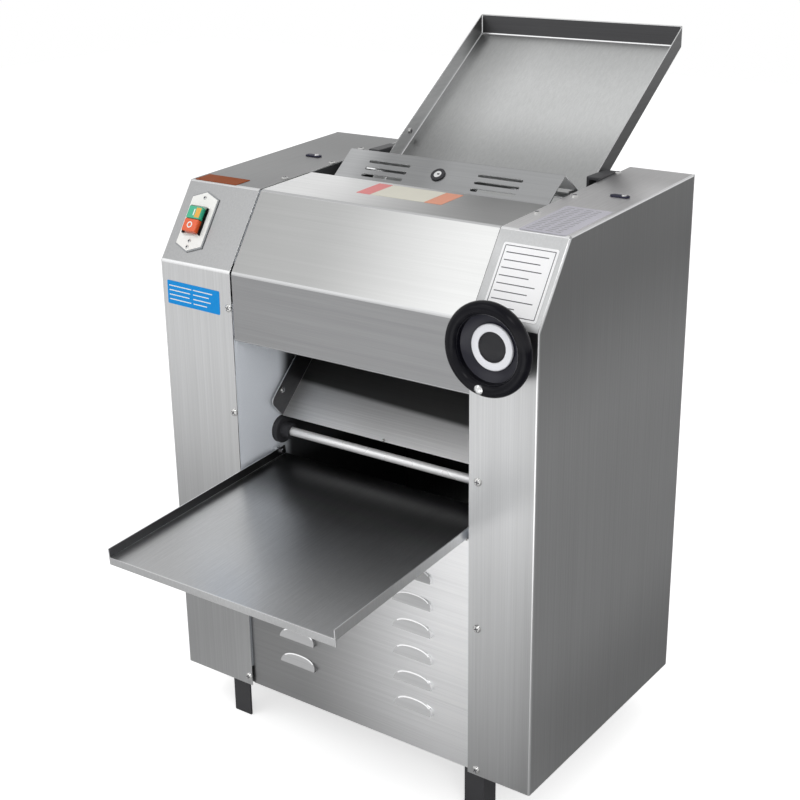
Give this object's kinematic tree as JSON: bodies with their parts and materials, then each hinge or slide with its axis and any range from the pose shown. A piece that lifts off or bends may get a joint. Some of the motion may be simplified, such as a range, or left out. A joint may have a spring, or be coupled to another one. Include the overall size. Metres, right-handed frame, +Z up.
{
  "type": "electric dough press",
  "caption": "Stainless floor-standing dough press: driven rollers under a hood, handwheel gap control, sloping feed and receiving trays, louvred front, black angle legs.",
  "frame": {"origin": "on the floor, under the middle of the press's bounding box", "axes": "+Z up, -Y towards the operator and the receiving tray, +X to the handwheel's side"},
  "size_m": [0.592, 0.8192, 0.9419],
  "materials": {
    "stainless": "satin",
    "plate_steel": "ground",
    "polished_steel": "polished",
    "gear_steel": "machined and oiled",
    "cast_iron": "cast and painted",
    "black_paint": "semi-matt",
    "black_nylon": "moulded",
    "bakelite": "glossy",
    "white_plastic": "moulded",
    "green_plastic": "moulded",
    "red_plastic": "moulded",
    "belt_rubber": "matt"
  },
  "bodies": {
    "frame": {"left_casing": "stainless", "right_casing": "stainless", "hood": "stainless", "lower_front_panel": "stainless", "rear_panel": "stainless", "cable_gland": "black_nylon", "left_side_plate": "plate_steel", "right_side_plate": "plate_steel", "front_rail": "black_paint", "rear_rail": "black_paint", "front_left_leg": "black_paint", "front_right_leg": "black_paint", "rear_left_leg": "black_paint", "rear_right_leg": "black_paint", "motor_plate": "black_paint", "motor": "cast_iron", "drive_belt": "belt_rubber", "countershaft_bearing": "cast_iron", "rear_left_bearing": "cast_iron", "rear_right_bearing": "cast_iron", "sync_chain": "gear_steel", "upper_tie_bar": "plate_steel", "discharge_chute": "stainless", "front_scraper": "plate_steel", "rear_scraper": "plate_steel", "left_guide_bush": "black_nylon", "right_guide_bush": "black_nylon", "left_tray_pin": "polished_steel", "right_tray_pin": "polished_steel", "feed_tray": "stainless", "left_feed_bracket": "black_paint", "right_feed_bracket": "black_paint", "guard_hinge_rod": "polished_steel", "switch_plate": "white_plastic", "switch_box": "white_plastic", "left_oil_plug": "black_nylon", "right_oil_plug": "black_nylon"},
    "countershaft_unit": {"countershaft": "gear_steel", "driven_pulley": "cast_iron"},
    "motor_rotor": {"motor_shaft": "polished_steel", "motor_pulley": "cast_iron"},
    "rear_roller_unit": {"rear_roller": "polished_steel", "rear_roller_gear": "gear_steel", "final_drive_gear": "gear_steel"},
    "roller_carriage": {"left_bearing_block": "cast_iron", "right_bearing_block": "cast_iron"},
    "front_roller_unit": {"front_roller": "polished_steel", "front_roller_gear": "gear_steel"},
    "handwheel_unit": {"handwheel": "bakelite", "handwheel_ring": "white_plastic", "handwheel_cap": "bakelite", "right_adjusting_screw": "polished_steel"},
    "left_screw_unit": {"left_adjusting_screw": "polished_steel"},
    "guide_roller_unit": {"guide_roller": "polished_steel"},
    "receiving_tray_unit": {"receiving_tray": "stainless"},
    "guard_unit": {"finger_guard": "stainless"},
    "lock_unit": {"guard_lock": "polished_steel"},
    "start_button_unit": {"start_button": "green_plastic"},
    "stop_button_unit": {"stop_button": "red_plastic"}
  },
  "joints": [
    {"name": "countershaft_spin", "type": "hinge", "parent": "frame", "child": "countershaft_unit", "pos_m": [-0.23, 0.07812, 0.5337], "axis": [1, 0, 0], "continuous": true},
    {"name": "motor_spin", "type": "hinge", "parent": "frame", "child": "motor_rotor", "pos_m": [-0.23, 0.04612, 0.1786], "axis": [1, 0, 0], "continuous": true},
    {"name": "rear_roller_spin", "type": "hinge", "parent": "frame", "child": "rear_roller_unit", "pos_m": [0.009, 0.07812, 0.654], "axis": [1, 0, 0], "continuous": true},
    {"name": "roller_gap_slide", "type": "slide", "parent": "frame", "child": "roller_carriage", "axis": [0, -1, 0], "range_m": [-0.003, 0.009]},
    {"name": "front_roller_spin", "type": "hinge", "parent": "roller_carriage", "child": "front_roller_unit", "pos_m": [0.009, -0.03589, 0.654], "axis": [1, 0, 0], "continuous": true},
    {"name": "handwheel_turn", "type": "hinge", "parent": "frame", "child": "handwheel_unit", "pos_m": [0.24, -0.18377, 0.654], "axis": [0, 1, 0], "range_deg": [-270, 810]},
    {"name": "left_screw_turn", "type": "hinge", "parent": "frame", "child": "left_screw_unit", "pos_m": [-0.204, -0.13377, 0.654], "axis": [0, 1, 0], "range_deg": [-270, 810]},
    {"name": "guide_roller_spin", "type": "hinge", "parent": "frame", "child": "guide_roller_unit", "pos_m": [0.009, -0.06789, 0.428], "axis": [1, 0, 0], "continuous": true},
    {"name": "receiving_tray_fold", "type": "hinge", "parent": "frame", "child": "receiving_tray_unit", "pos_m": [0.013, -0.08389, 0.403], "axis": [-1, 0, 0], "range_deg": [0, 52]},
    {"name": "guard_lift", "type": "hinge", "parent": "frame", "child": "guard_unit", "pos_m": [0.009, 0.11081, 0.76059], "axis": [-1, 0, 0], "range_deg": [0, 75]},
    {"name": "guard_lock_turn", "type": "hinge", "parent": "guard_unit", "child": "lock_unit", "pos_m": [-0.0005, 0.06572, 0.77653], "axis": [0, 0.6101, -0.7923], "range_deg": [0, 90]},
    {"name": "start_button_press", "type": "slide", "parent": "frame", "child": "start_button_unit", "axis": [0, 0.824, -0.5665], "range_m": [0, 0.003], "stiffness_N_per_m": 400, "springref_m": -0.002},
    {"name": "stop_button_press", "type": "slide", "parent": "frame", "child": "stop_button_unit", "axis": [0, 0.824, -0.5665], "range_m": [0, 0.003], "stiffness_N_per_m": 400, "springref_m": -0.002}
  ],
  "couplings": [
    {"joint": "motor_spin", "follows": "countershaft_spin", "ratio": 4},
    {"joint": "rear_roller_spin", "follows": "countershaft_spin", "ratio": -0.33333},
    {"joint": "front_roller_spin", "follows": "countershaft_spin", "ratio": 0.33333},
    {"joint": "handwheel_turn", "follows": "roller_gap_slide", "rad_per_m": 1570.8},
    {"joint": "left_screw_turn", "follows": "roller_gap_slide", "rad_per_m": 1570.8}
  ]
}
